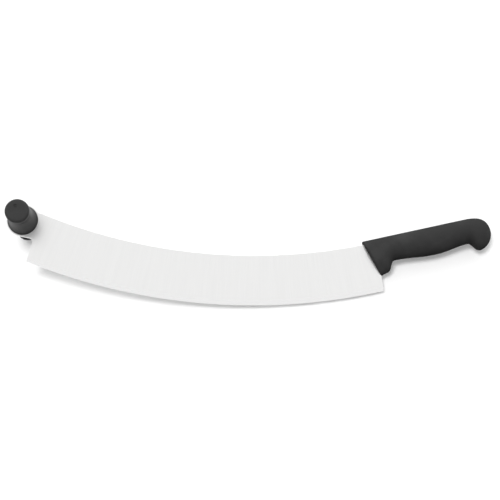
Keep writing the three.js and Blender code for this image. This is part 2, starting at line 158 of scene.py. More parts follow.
class Bench:
    """Operators that shape one piece at a time, in millimetres, in the blade's own frame."""

    @staticmethod
    def clear() -> None:
        """Leaves edit mode and selects nothing."""
        if bpy.context.mode != "OBJECT":
            bpy.ops.object.mode_set(mode="OBJECT")
        bpy.ops.object.select_all(action="DESELECT")

    @staticmethod
    def hold(piece: bpy.types.Object) -> None:
        """Selects one piece alone and makes it the active one.

        Args:
            piece: the piece to work on.
        """
        Bench.clear()
        piece.select_set(True)
        bpy.context.view_layer.objects.active = piece

    @staticmethod
    def edit(piece: bpy.types.Object) -> None:
        """Opens a piece in edit mode with all of it selected.

        Args:
            piece: the piece to open.
        """
        Bench.hold(piece)
        bpy.ops.object.mode_set(mode="EDIT")
        bpy.ops.mesh.select_mode(type="VERT")
        bpy.ops.mesh.select_all(action="SELECT")

    @staticmethod
    def pick(piece: bpy.types.Object, element: Element, wanted: Callable[[Any], bool]) -> int:
        """Selects the points or edges of a piece in edit mode that pass a test.

        Args:
            piece: the piece that is open in edit mode.
            element: what is selected.
            wanted: test of one point or edge.

        Returns:
            How many were selected.
        """
        bpy.ops.mesh.select_mode(type=element.value)
        bpy.ops.mesh.select_all(action="DESELECT")
        mesh = bmesh.from_edit_mesh(piece.data)
        parts = mesh.edges if element is Element.EDGE else mesh.verts
        chosen = [part for part in parts if wanted(part)]
        for part in chosen:
            part.select_set(True)
        mesh.select_flush_mode()
        bmesh.update_edit_mesh(piece.data)
        return len(chosen)

    @staticmethod
    def turn(angle: float, centre: Vector) -> None:
        """Turns what is selected to the left about an upright axis.

        Args:
            angle: in radians. The operator itself counts to the right.
            centre: a point of the axis.
        """
        bpy.ops.transform.rotate(value=-angle, orient_axis="Z", center_override=centre)

    @staticmethod
    def apply(piece: bpy.types.Object, kind: str, **settings: Any) -> None:
        """Adds a modifier to a piece and applies it.

        Args:
            piece: the piece to change.
            kind: the modifier's type.
            settings: the modifier's properties.
        """
        Bench.hold(piece)
        modifier = piece.modifiers.new(kind.lower(), kind)
        for name, value in settings.items():
            setattr(modifier, name, value)
        bpy.ops.object.modifier_apply(modifier=modifier.name)

    @staticmethod
    def cut(piece: bpy.types.Object, cutters: Iterable[bpy.types.Object]) -> None:
        """Cuts a piece with solids, which are used up.

        Args:
            piece: the piece to cut.
            cutters: the solids to take away from it.
        """
        for cutter in cutters:
            Bench.apply(piece, "BOOLEAN", operation="DIFFERENCE", solver="EXACT", object=cutter)
            mesh = cutter.data
            bpy.data.objects.remove(cutter)
            bpy.data.meshes.remove(mesh)

    @staticmethod
    def rod(place: Vector, radius: float, length: float, sides: int) -> bpy.types.Object:
        """Upright round cutter centred on a place.

        Args:
            place: its middle.
            radius: its radius.
            length: its length.
            sides: how many flats stand in for its round.

        Returns:
            The cutter.
        """
        Bench.clear()
        bpy.ops.mesh.primitive_cylinder_add(vertices=sides, radius=radius, depth=length)
        cutter = bpy.context.object
        cutter.data.transform(Matrix.Translation(place))
        return cutter

    @staticmethod
    def close(piece: bpy.types.Object) -> None:
        """Merges doubled points and turns every face outwards.

        Args:
            piece: the closed shell.
        """
        Bench.edit(piece)
        bpy.ops.mesh.remove_doubles(threshold=NEAR)
        bpy.ops.mesh.normals_make_consistent(inside=False)
        Bench.clear()

    @staticmethod
    def ease(
        piece: bpy.types.Object, wanted: Callable[[bmesh.types.BMEdge], bool], width: float, steps: int
    ) -> None:
        """Rounds the edges of a piece that pass a test.

        Args:
            piece: the piece to change.
            wanted: test of one edge.
            width: how far the round reaches from the edge.
            steps: how many strips make the round.
        """
        Bench.edit(piece)
        if Bench.pick(piece, Element.EDGE, wanted):
            bpy.ops.mesh.bevel(offset=width, segments=steps, affect="EDGES", clamp_overlap=False)
        Bench.clear()

    @staticmethod
    def lay(piece: bpy.types.Object, name: str, place: Matrix, smooth_angle: float) -> None:
        """Names a piece, smooths its shading and lays it in the row frame, in metres.

        Args:
            piece: the finished piece.
            name: its name.
            place: from the piece's own millimetres to the row frame.
            smooth_angle: faces that meet under this angle in degrees shade as one.
        """
        piece.name = name
        piece.data.name = name
        piece.data.transform(place)
        Bench.hold(piece)
        bpy.ops.object.shade_smooth_by_angle(angle=math.radians(smooth_angle))
        Bench.clear()


class Pen:
    """Draws a chain of edges point by point in edit mode, by extruding and spinning its last point."""

    def __init__(self, start: Vector) -> None:
        """Starts a chain.

        Args:
            start: its first point.
        """
        Bench.clear()
        bpy.ops.mesh.primitive_plane_add(size=1.0)
        self.piece = bpy.context.object
        self.start = start.copy()
        self.at = start.copy()
        Bench.edit(self.piece)
        bpy.ops.mesh.merge(type="CENTER")
        bpy.ops.transform.translate(value=start)

    def line(self, *points: Vector) -> "Pen":
        """Extrudes the chain straight from point to point.

        Args:
            points: where it goes.

        Returns:
            The pen.
        """
        for point in points:
            bpy.ops.mesh.extrude_region_move(TRANSFORM_OT_translate={"value": point - self.at})
            self.at = point.copy()
        return self

    def bend(self, control: Vector, end: Vector, steps: int) -> "Pen":
        """Extrudes the chain along a curve that leaves towards a control point and arrives from it.

        Args:
            control: where the two end tangents meet.
            end: where the curve ends.
            steps: how many edges make it.

        Returns:
            The pen.
        """
        start = self.at.copy()
        for step in range(1, steps + 1):
            share = step / steps
            self.line(start.lerp(control, share).lerp(control.lerp(end, share), share))
        return self

    def arc(self, centre: Vector, end: Vector, steps: int, clockwise: bool = False) -> "Pen":
        """Spins the last point round a centre in the blade's plane.

        Args:
            centre: middle of the arc.
            end: where the arc ends.
            steps: how many edges make it.
            clockwise: which way it turns.

        Returns:
            The pen.
        """
        first = self.at - centre
        last = end - centre
        turn = (math.atan2(last.y, last.x) - math.atan2(first.y, first.x)) % math.tau
        turn = turn - math.tau if clockwise else turn
        bpy.ops.mesh.spin(steps=steps, angle=-turn, center=centre, axis=UP)
        self.at = end.copy()
        return self

    def fill(self) -> bpy.types.Object:
        """Closes the chain on its start and fills it with one face.

        Returns:
            The flat piece, still open in edit mode.
        """
        if (self.at - self.start).length > NEAR:
            self.line(self.start)
        bpy.ops.mesh.select_all(action="SELECT")
        bpy.ops.mesh.remove_doubles(threshold=NEAR)
        bpy.ops.mesh.edge_face_add()
        return self.piece

    def plate(self, heights: Sequence[float]) -> bpy.types.Object:
        """Fills the chain and extrudes it upwards.

        Args:
            heights: over the blade's middle plane, of the lower side and of each layer above it.

        Returns:
            The plate.
        """
        piece = self.fill()
        bpy.ops.transform.translate(value=UP * heights[0])
        for low, high in zip(heights, heights[1:]):
            bpy.ops.mesh.extrude_region_move(TRANSFORM_OT_translate={"value": UP * (high - low)})
        Bench.close(piece)
        return piece

    def turned(self, steps: int) -> bpy.types.Object:
        """Spins the open chain a full turn about the cross-grip's axis.

        Args:
            steps: how many flats stand in for the round.

        Returns:
            The turned piece.
        """
        bpy.ops.mesh.select_all(action="SELECT")
        bpy.ops.mesh.spin(steps=steps, angle=math.tau, center=Vector(), axis=UP)
        Bench.close(self.piece)
        return self.piece


class Wire:
    """One value in a node tree. Arithmetic on it adds Math nodes."""

    def __init__(self, graph: "Graph", socket: bpy.types.NodeSocket) -> None:
        """Wraps an output socket of a graph."""
        self.graph = graph
        self.socket = socket

    def _math(self, operation: str, a: "Wire | float", b: "Wire | float" = 0.0) -> "Wire":
        """Adds a Math node for two values."""
        return self.graph.node("ShaderNodeMath", {"operation": operation}, {0: a, 1: b})

    def __add__(self, other: "Wire | float") -> "Wire":
        """Sum with another value."""
        return self._math("ADD", self, other)

    __radd__ = __add__

    def __sub__(self, other: "Wire | float") -> "Wire":
        """This value less another."""
        return self._math("SUBTRACT", self, other)

    def __rsub__(self, other: "Wire | float") -> "Wire":
        """Another value less this one."""
        return self._math("SUBTRACT", other, self)

    def __mul__(self, other: "Wire | float") -> "Wire":
        """Product with another value."""
        return self._math("MULTIPLY", self, other)

    __rmul__ = __mul__

    def __truediv__(self, other: "Wire | float") -> "Wire":
        """This value over another."""
        return self._math("DIVIDE", self, other)

    def __rtruediv__(self, other: "Wire | float") -> "Wire":
        """Another value over this one."""
        return self._math("DIVIDE", other, self)

    def __abs__(self) -> "Wire":
        """Size of the value without its sign."""
        return self._math("ABSOLUTE", self)

    def root(self) -> "Wire":
        """Square root of the value."""
        return self._math("SQRT", self)

    def angle_from(self, other: "Wire") -> "Wire":
        """Angle whose tangent is this value over another."""
        return self._math("ARCTAN2", self, other)

    def above(self, other: "Wire | float") -> "Wire":
        """The larger of two values."""
        return self._math("MAXIMUM", self, other)

    def step(self, low: float, high: float) -> "Wire":
        """Smooth step from 0 at low to 1 at high."""
        sockets = {"Value": self, "From Min": low, "From Max": high}
        return self.graph.node("ShaderNodeMapRange", {"interpolation_type": "SMOOTHSTEP"}, sockets)


class Graph:
    """A node tree that is written by code."""

    # Sockets of the Mix node for colours, whose names other sockets share
    MIX_SHARE = 0
    MIX_FROM = 6
    MIX_TO = 7
    MIX_COLOUR = 2

    def __init__(self, tree: bpy.types.NodeTree) -> None:
        """Starts from an empty tree."""
        self.tree = tree
        self.tree.nodes.clear()

    def node(
        self,
        kind: str,
        settings: dict[str, Any] | None = None,
        inputs: dict[Any, Any] | None = None,
        output: int | str = 0,
    ) -> Wire:
        """Adds a node.

        Args:
            kind: the node's type.
            settings: its properties, set first.
            inputs: values or wires of its sockets, by name or number.
            output: which of its outputs to return.

        Returns:
            The output.
        """
        made = self.tree.nodes.new(kind)
        for name, value in (settings or {}).items():
            setattr(made, name, value)
        for name, value in (inputs or {}).items():
            if isinstance(value, Wire):
                self.tree.links.new(value.socket, made.inputs[name])
            else:
                made.inputs[name].default_value = value
        return Wire(self, made.outputs[output])

    def split(self, vector: Wire) -> tuple[Wire, Wire, Wire]:
        """Splits a vector.

        Args:
            vector: the vector.

        Returns:
            Its three numbers.
        """
        first = self.node("ShaderNodeSeparateXYZ", None, {0: vector})
        outputs = first.socket.node.outputs
        return first, Wire(self, outputs[1]), Wire(self, outputs[2])

    def join(self, x: Wire | float, y: Wire | float, z: Wire | float) -> Wire:
        """A vector of three numbers."""
        return self.node("ShaderNodeCombineXYZ", None, {0: x, 1: y, 2: z})

    def blend(self, share: Wire, a: Wire | Colour, b: Wire | Colour) -> Wire:
        """A colour between two colours."""
        sockets = {self.MIX_SHARE: share, self.MIX_FROM: a, self.MIX_TO: b}
        return self.node("ShaderNodeMix", {"data_type": "RGBA"}, sockets, self.MIX_COLOUR)

    def noise(self, vector: Wire, detail: float, scale: float = 1.0) -> Wire:
        """Noise between 0 and 1."""
        sockets = {"Vector": vector, "Scale": scale, "Detail": detail}
        return self.node("ShaderNodeTexNoise", None, sockets)

    def seen(self) -> Wire:
        """Tells what the camera sees, also in metal and glass, from what lights the object.

        Returns:
            1 where the camera sees it, and 0 otherwise.
        """
        camera = self.node("ShaderNodeLightPath", None, None, "Is Camera Ray")
        outputs = camera.socket.node.outputs
        mirrored = Wire(self, outputs["Is Glossy Ray"]).above(Wire(self, outputs["Is Transmission Ray"]))
        return camera.above(mirrored)

    def end(self, kind: str, output: str, inputs: dict[Any, Any]) -> None:
        """Ends the tree in one surface or background.

        Args:
            kind: the last node's type.
            output: the output node's type.
            inputs: values or wires of the last node's sockets.
        """
        last = self.node(kind, None, inputs)
        self.tree.links.new(last.socket, self.tree.nodes.new(output).inputs["Surface"])


class Shader(Graph):
    """The node tree of one material."""

    def __init__(self, name: str) -> None:
        """Makes the material.

        Args:
            name: the material's name.
        """
        self.material = bpy.data.materials.new(name)
        self.material.use_nodes = True
        super().__init__(self.material.node_tree)

    def in_frame(self, place: Matrix, centre: Vector) -> Wire:
        """Object coordinates turned into a piece's own frame.

        Args:
            place: the piece's frame in the row frame, in metres.
            centre: the point of that frame, in metres, that becomes zero.

        Returns:
            The coordinates in metres.
        """
        coordinates = self.node("ShaderNodeTexCoord", None, None, "Object")
        return self.node(
            "ShaderNodeMapping",
            {"vector_type": "TEXTURE"},
            {"Vector": coordinates, "Location": place @ centre, "Rotation": place.to_euler()},
        )

    def bump(self, height: Wire, distance: float, strength: float) -> Wire:
        """Normals of a height."""
        sockets = {"Strength": strength, "Distance": distance, "Height": height}
        return self.node("ShaderNodeBump", None, sockets)

    def surface(self, **inputs: Any) -> bpy.types.Material:
        """Ends the material in one principled surface.

        Args:
            inputs: its sockets, with underscores for spaces.

        Returns:
            The material.
        """
        sockets = {name.replace("_", " "): value for name, value in inputs.items()}
        self.end("ShaderNodeBsdfPrincipled", "ShaderNodeOutputMaterial", sockets)
        return self.material


@dataclass(frozen=True)
class SatinSteel:
    """Stainless steel ground in fine lines across the blade, with a smoother ground edge whose colour is
    lighter: partly a polished bevel, partly a painted highlight that offsets the darker front the bevel
    reflects.
    """

    colour: Colour = (0.836, 0.836, 0.831, 1.0)
    line_colour: Colour = (0.866, 0.866, 0.861, 1.0)
    # Ground bevel colour: a little lighter as polished steel, and partly a painted highlight against the
    # darker front that the bevel faces
    ground_painted_highlight_colour: Colour = (0.850, 0.850, 0.847, 1.0)
    roughness: float = 0.27
    line_roughness: float = 0.08
    ground_polish: float = 0.05
    line_pitch: float = 0.4 * MM
    line_length: float = 30 * MM
    line_detail: float = 3.0
    line_height: float = 0.02 * MM
    line_strength: float = 0.25
    band_pitch: float = 4 * MM
    band_length: float = 110 * MM
    band_detail: float = 2.0
    band_share: float = 0.3
    streak_from: float = 0.3
    streak_to: float = 0.7
    ground_blur: float = 0.1 * MM

    def make(self, name: str, place: Matrix, blade: "Blade") -> bpy.types.Material:
        """Makes the material for the blade.

        Args:
            name: the material's name.
            place: the blade's frame in the row frame, in metres.
            blade: whose edge the lines cross.

        Returns:
            The material.
        """
        shader = Shader(name)
        x, y, z = shader.split(shader.in_frame(place, blade.edge_centre * MM))
        radius = (x * x + y * y).root()
        around = x.angle_from(0.0 - y) * (blade.edge_radius * MM)
        lines = shader.noise(
            shader.join(around / self.line_pitch, radius / self.line_length, z / self.line_length),
            self.line_detail,
        )
        bands = shader.noise(
            shader.join(around / self.band_pitch, radius / self.band_length, 0.0), self.band_detail
        )
        ground_start = (blade.edge_radius - blade.bevel_width) * MM
        ground = radius.step(ground_start - self.ground_blur, ground_start + self.ground_blur)
        streak = lines * (1 - self.band_share) + bands * self.band_share
        tint = streak.step(self.streak_from, self.streak_to)
        body = shader.blend(tint, self.colour, self.line_colour)
        return shader.surface(
            # Painted highlight: the ground bevel takes a lighter colour to offset the darker front it
            # reflects
            Base_Color=shader.blend(ground, body, self.ground_painted_highlight_colour),
            Metallic=1.0,
            Roughness=self.roughness + streak * self.line_roughness - ground * self.ground_polish,
            Normal=shader.bump(lines, self.line_height, self.line_strength),
        )


@dataclass(frozen=True)
class MouldedPlastic:
    """Black plastic from a finely textured mould, with rubbed patches and a faint parting line."""

    colour: Colour
    rubbed_colour: Colour
    roughness: float
    rubbed_roughness: float
    specular: float
    grain: float = 0.5 * MM
    grain_detail: float = 2.0
    grain_height: float = 0.03 * MM
    grain_strength: float = 0.5
    grain_roughness: float = 0.06
    grain_share: float = 0.25
    patch: float = 22 * MM
    patch_detail: float = 3.0
    rubbed_from: float = 0.55
    rubbed_to: float = 0.85
    parting_width: float = 0.25 * MM
    parting_height: float = 0.6

    def make(self, name: str, place: Matrix) -> bpy.types.Material:
        """Makes the material for a piece.

        Args:
            name: the material's name.
            place: the blade's frame in the row frame, in metres.

        Returns:
            The material.
        """
        shader = Shader(name)
        here = shader.in_frame(place, Vector())
        height = shader.split(here)[2]
        grain = shader.noise(here, self.grain_detail, 1 / self.grain)
        patch = shader.noise(here, self.patch_detail, 1 / self.patch)
        rubbed = (patch + grain * self.grain_share).step(self.rubbed_from, self.rubbed_to)
        parting = 1.0 - abs(height).step(self.parting_width / 2, self.parting_width)
        return shader.surface(
            Base_Color=shader.blend(rubbed, self.colour, self.rubbed_colour),
            Roughness=self.roughness - rubbed * self.rubbed_roughness + grain * self.grain_roughness,
            Specular_IOR_Level=self.specular,
            Normal=shader.bump(
                grain + parting * self.parting_height, self.grain_height, self.grain_strength
            ),
        )


@dataclass(frozen=True)
class TurnedMetal:
    """Bare metal with the fine rings of a lathe tool."""

    colour: Colour
    ring_colour: Colour
    roughness: float
    ring_pitch: float = 0.25 * MM
    ring_height: float = 0.02 * MM
    ring_strength: float = 0.4
    ring_from: float = 0.3
    ring_to: float = 0.7
    stain: float = 6 * MM
    stain_share: float = 0.3
    stain_roughness: float = 0.15
    detail: float = 2.0

    def make(self, name: str, place: Matrix) -> bpy.types.Material:
        """Makes the material for a turned piece.

        Args:
            name: the material's name.
            place: the blade's frame in the row frame, in metres.

        Returns:
            The material.
        """
        shader = Shader(name)
        here = shader.in_frame(place, Vector())
        height = shader.split(here)[2]
        rings = shader.noise(shader.join(0.0, 0.0, height / self.ring_pitch), self.detail)
        stain = shader.noise(here, self.detail, 1 / self.stain)
        mottle = rings * (1 - self.stain_share) + stain * self.stain_share
        tint = mottle.step(self.ring_from, self.ring_to)
        return shader.surface(
            Base_Color=shader.blend(tint, self.colour, self.ring_colour),
            Metallic=1.0,
            Roughness=self.roughness + stain * self.stain_roughness,
            Normal=shader.bump(rings, self.ring_height, self.ring_strength),
        )


@dataclass(frozen=True)
class Lie:
    """How the knife lies: the blade's own frame in the row frame, in metres."""

    turn: Matrix

    @classmethod
    def of(cls, record: dict[str, Any]) -> "Lie":
        """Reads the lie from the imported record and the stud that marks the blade's origin.

        Args:
            record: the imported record.

        Returns:
            The lie.
        """
        low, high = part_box("grip_stud")
        normal = Vector(record["mounts"][0]["axis"]).normalized()
        along = Vector((normal.z, 0.0, -normal.x)).normalized()
        turn = Matrix((along, normal.cross(along), normal)).transposed().to_4x4()
        turn.translation = (Vector(low) + Vector(high)) / 2
        return cls(turn)

    @property
    def place(self) -> Matrix:
        """From millimetres of the blade's frame to the row frame."""
        return self.turn @ Matrix.Scale(MM, 4)


@dataclass(frozen=True)
class HandleAxes:
    """The main handle's own axes in the blade's plane: s along its straight back, t down from it."""

    start: Vector
    rise: float

    @property
    def along(self) -> Vector:
        """Direction of s."""
        return heading(self.rise)

    @property
    def down(self) -> Vector:
        """Direction of t."""
        return -left_of(self.along)

    @property
    def place(self) -> Matrix:
        """From s, minus t and height to the blade's frame."""
        return Matrix.Translation(self.start) @ Matrix.Rotation(math.radians(self.rise), 4, "Z")

    def on(self, s: float, t: float) -> Vector:
        """Point of the blade's plane at s and t."""
        return self.start + self.along * s + self.down * t

    def depth(self, point: Vector) -> float:
        """How far below the handle's back a point lies."""
        return (point - self.start).dot(self.down)


@dataclass(frozen=True)
class Tang:
    """Corners of the blade inside the main handle, from the heel round to the spine."""

    heel_start: Vector
    heel_top: Vector
    lower_front: Vector
    lower_end: Vector
    upper_end: Vector
    upper_front: Vector
    spine_end: Vector


@dataclass
class Blade:
    """Crescent blade with its tang and its tongue, in millimetres."""

    thickness: float = 2.5
    width: float = 53.0
    edge_radius: float = 630.0
    spine_radius: float = 582.0
    belly_x: float = 226.0
    spine_drop: float = 30.4
    bevel_width: float = 4.0
    edge_land: float = 0.4
    apex_width: float = 0.3
    apex_land: float = 0.08
    tip_x: float = 6.0
    tip_lean: float = 14.5
    heel_set: float = 0.4
    heel_lean: float = 9.0
    tongue_radius: float = 17.2
    tongue_slope: float = 10.0
    neck_fillet: float = 4.5
    spine_fillet: float = 9.0
    stud_hole_radius: float = 4.0
    handle_x: float = 358.3
    back_proud: float = 3.5
    handle_rise: float = 14.1
    guard_tip: tuple[float, float] = (11.3, 40.5)
    tang_end: float = 104.0
    tang_bottom: float = 20.0
    tang_shoulder: float = 4.0
    lock_hole_radius: float = 4.0
    lock_hole_places: tuple[float, ...] = (42.0, 76.0)
    edge_ease: float = 0.25
    ease_steps: int = 2
    wall_tilt: float = 0.1
    flat_tilt: float = 0.999
    smooth_angle: float = 20.0
    arc_steps: int = 120
    small_arc_steps: int = 24
    finish: SatinSteel = field(default_factory=SatinSteel)

    @property
    def edge_centre(self) -> Vector:
        """Middle of the cutting edge's circle."""
        return Vector((self.belly_x, self.edge_radius - self.width - self.spine_drop, 0.0))

    @property
    def spine_centre(self) -> Vector:
        """Middle of the spine's circle."""
        return Vector((self.belly_x, self.spine_radius - self.spine_drop, 0.0))

    @property
    def tip(self) -> Vector:
        """Lower corner of the free end."""
        return below(self.edge_centre, self.edge_radius, self.tip_x)

    @property
    def axes(self) -> HandleAxes:
        """Axes of the main handle."""
        start = below(self.spine_centre, self.spine_radius, self.handle_x)
        return HandleAxes(start + Vector((0.0, self.back_proud, 0.0)), self.handle_rise)

    def tang(self, grow: float) -> Tang:
        """Corners of the tang.

        Args:
            grow: how far every side stands out.

        Returns:
            The corners.
        """
        axes = self.axes
        guard = axes.on(*self.guard_tip)
        front = (guard - axes.start).normalized()
        heel_way = heading(90 + self.heel_lean)
        heel_foot = line_meets_circle(
            guard + Vector((self.heel_set, 0.0, 0.0)), -heel_way, self.edge_centre, self.edge_radius
        )
        heel_start = heel_foot - left_of(heel_way) * grow
        shoulder = axes.start + left_of(front) * (self.tang_shoulder + grow)
        spine_end = line_meets_circle(axes.start, front, self.spine_centre, self.spine_radius)
        top = axes.depth(spine_end) - grow
        bottom = self.tang_bottom + grow
        end = self.tang_end + grow
        return Tang(
            heel_start=heel_start,
            heel_top=lines_meet(heel_start, heel_way, shoulder, front),
            lower_front=lines_meet(axes.on(0, bottom), axes.along, shoulder, front),
            lower_end=axes.on(end, bottom),
            upper_end=axes.on(end, top),
            upper_front=axes.on(0, top),
            spine_end=spine_end,
        )

    def _cutter(self, place: Vector, radius: float) -> bpy.types.Object:
        """Round cutter that passes through the plate."""
        return Bench.rod(place, radius, CUT_THROUGH * self.thickness, self.small_arc_steps)

    def lock_holes(self, shrink: float) -> list[bpy.types.Object]:
        """Round cutters for the holes that the handle flows through.

        Args:
            shrink: how much smaller than the holes they are.

        Returns:
            The cutters.
        """
        middle = (self.tang_bottom + self.axes.depth(self.tang(0.0).spine_end)) / 2
        radius = self.lock_hole_radius - shrink
        return [self._cutter(self.axes.on(s, middle), radius) for s in self.lock_hole_places]

    def _layers(self) -> list[tuple[float, float]]:
        """Layers that the ground bevels are drawn through.

        Returns:
            Heights over the middle plane, from below upwards, and how far the edge stands back at each.
        """
        half = self.thickness / 2
        shoulder = lerp(self.edge_land / 2, half, self.apex_width / self.bevel_width)
        upper = [(self.apex_land / 2, 0.0), (shoulder, self.apex_width), (half, self.bevel_width)]
        return [(-height, setback) for height, setback in reversed(upper)] + upper

    def _grind(self, plate: bpy.types.Object) -> None:
        """Draws the edge of each layer back, which leaves the ground bevels.

        Args:
            plate: the plate with its layers.
        """
        centre = self.edge_centre
        ends = (
            (self.tip, heading(90 - self.tip_lean)),
            (self.tang(0.0).heel_start, heading(90 + self.heel_lean)),
        )

        def on_edge(point: bmesh.types.BMVert, height: float) -> bool:
            """Whether a point lies on the edge's circle at a height."""
            level = abs(point.co.z - height) < NEAR
            return level and abs((point.co - centre).to_2d().length - self.edge_radius) < NEAR

        Bench.edit(plate)
        for height, setback in self._layers():
            if not setback:
                continue
            radius = self.edge_radius - setback
            share = radius / self.edge_radius
            Bench.pick(plate, Element.POINT, lambda point: on_edge(point, height))
            bpy.ops.transform.resize(value=(share, share, 1.0), center_override=centre)
            for corner, way in ends:
                drawn = centre.lerp(corner, share) + UP * height
                Bench.pick(plate, Element.POINT, lambda point: (point.co - drawn).length < NEAR)
                flush = line_meets_circle(corner, way, centre, radius) + UP * height
                bpy.ops.transform.translate(value=flush - drawn)
        Bench.clear()

    def _outline(self) -> Pen:
        """Draws the outline of the whole blade, from its tip along the cutting edge.

        Returns:
            The pen, with the outline drawn up to the last straight side.
        """
        tip_way = heading(90 - self.tip_lean)
        tongue_way = heading(-self.tongue_slope)
        tongue_low = left_of(tongue_way) * -self.tongue_radius
        neck = lines_meet(
            tongue_low - left_of(tongue_way) * self.neck_fillet,
            tongue_way,
            self.tip + left_of(tip_way) * self.neck_fillet,
            tip_way,
        )
        origin = Vector()
        fillet = circles_meet(
            origin,
            self.tongue_radius + self.spine_fillet,
            self.spine_centre,
            self.spine_radius - self.spine_fillet,
        )
        on_spine = self.spine_centre + (fillet - self.spine_centre).normalized() * self.spine_radius
        on_tongue = fillet.normalized() * self.tongue_radius
        tang = self.tang(0.0)
        pen = Pen(self.tip)
        pen.arc(self.edge_centre, tang.heel_start, self.arc_steps)
        pen.line(tang.heel_top, tang.lower_front, tang.lower_end, tang.upper_end, tang.spine_end)
        pen.arc(self.spine_centre, on_spine, self.arc_steps, clockwise=True)
        pen.arc(fillet, on_tongue, self.small_arc_steps, clockwise=True)
        pen.arc(origin, tongue_low, 2 * self.small_arc_steps)
        pen.line(neck + left_of(tongue_way) * self.neck_fillet)
        pen.arc(neck, neck - left_of(tip_way) * self.neck_fillet, self.small_arc_steps, clockwise=True)
        return pen

    def build(self) -> bpy.types.Object:
        """Models the blade in its own frame.

        Returns:
            The blade.
        """
        plate = self._outline().plate([height for height, _ in self._layers()])
        self._grind(plate)
        Bench.cut(plate, [self._cutter(Vector(), self.stud_hole_radius), *self.lock_holes(0.0)])

        def is_rim(edge: bmesh.types.BMEdge) -> bool:
            """Whether an edge runs between a flat side and an upright wall.

            Args:
                edge: the edge to test.

            Returns:
                Whether it does.
            """
            if len(edge.link_faces) != 2:
                return False
            tilts = sorted(abs(face.normal.z) for face in edge.link_faces)
            return tilts[0] < self.wall_tilt and tilts[1] > self.flat_tilt

        Bench.ease(plate, is_rim, self.edge_ease, self.ease_steps)
        return plate

    def dress(self, lie: Lie) -> bpy.types.Object:
        """Builds the blade, lays it in the row frame and gives it its finish.

        Args:
            lie: how the knife lies.

        Returns:
            The finished piece.
        """
        plate = self.build()
        Bench.lay(plate, "blade_plate", lie.place, self.smooth_angle)
        plate.data.materials.append(self.finish.make("satin_steel", lie.turn, self))
        settle(plate, Slot.BLADE, "blade")
        return plate


@dataclass(frozen=True)
class Bend:
    """Cubic curve of the handle's side view, with one depth at each place along the handle."""

    points: tuple[tuple[float, float], ...]
    halvings: int = 48

    @classmethod
    def level(cls, start: tuple[float, float], end: tuple[float, float], lead: float) -> "Bend":
        """S-curve that leaves and arrives level.

        Args:
            start: s and t where it starts.
            end: s and t where it ends.
            lead: share of the span that each end stays level.

        Returns:
            The curve.
        """
        reach = (end[0] - start[0]) * lead
        return cls((start, (start[0] + reach, start[1]), (end[0] - reach, end[1]), end))

    @property
    def end(self) -> float:
        """Place where the curve ends."""
        return self.points[-1][0]

    def _value(self, share: float, axis: int) -> float:
        """One coordinate of the curve.

        Args:
            share: of the curve's parameter.
            axis: 0 for the place along the handle and 1 for the depth.

        Returns:
            The coordinate.
        """
        values = [point[axis] for point in self.points]
        while len(values) > 1:
            values = [lerp(a, b, share) for a, b in zip(values, values[1:])]
        return values[0]

    def depth(self, s: float) -> float:
        """Depth of the curve, found by halving the span of its parameter.

        Args:
            s: place along the handle.

        Returns:
            The depth.
        """
        low, high = 0.0, 1.0
        for _ in range(self.halvings):
            share = (low + high) / 2
            low, high = (share, high) if self._value(share, 0) < s else (low, share)
        return self._value((low + high) / 2, 1)


@dataclass(frozen=True)
class Rib:
    """One section of the handle, between its back and its underside."""

    top: Vector
    bottom: Vector
    half: float

    @property
    def middle(self) -> Vector:
        """Middle of the section."""
        return (self.top + self.bottom) / 2

    @property
    def reach(self) -> float:
        """Half of the section's height."""
        return (self.top - self.bottom).length / 2

    @property
    def lean(self) -> float:
        """Angle to the left from upright."""
        way = self.top - self.bottom
        return math.atan2(-way.x, way.y)

    def between(self, other: "Rib", share: float, inset: float) -> "Rib":
        """Section at a share of the way to another, drawn in all round.

        Args:
            other: the section at the end of the way.
            share: of the way.
            inset: how far it is drawn in.

        Returns:
            The section.
        """
        top = self.top.lerp(other.top, share)
        bottom = self.bottom.lerp(other.bottom, share)
        inwards = (bottom - top).normalized() * inset
        return Rib(top + inwards, bottom - inwards, lerp(self.half, other.half, share) - inset)


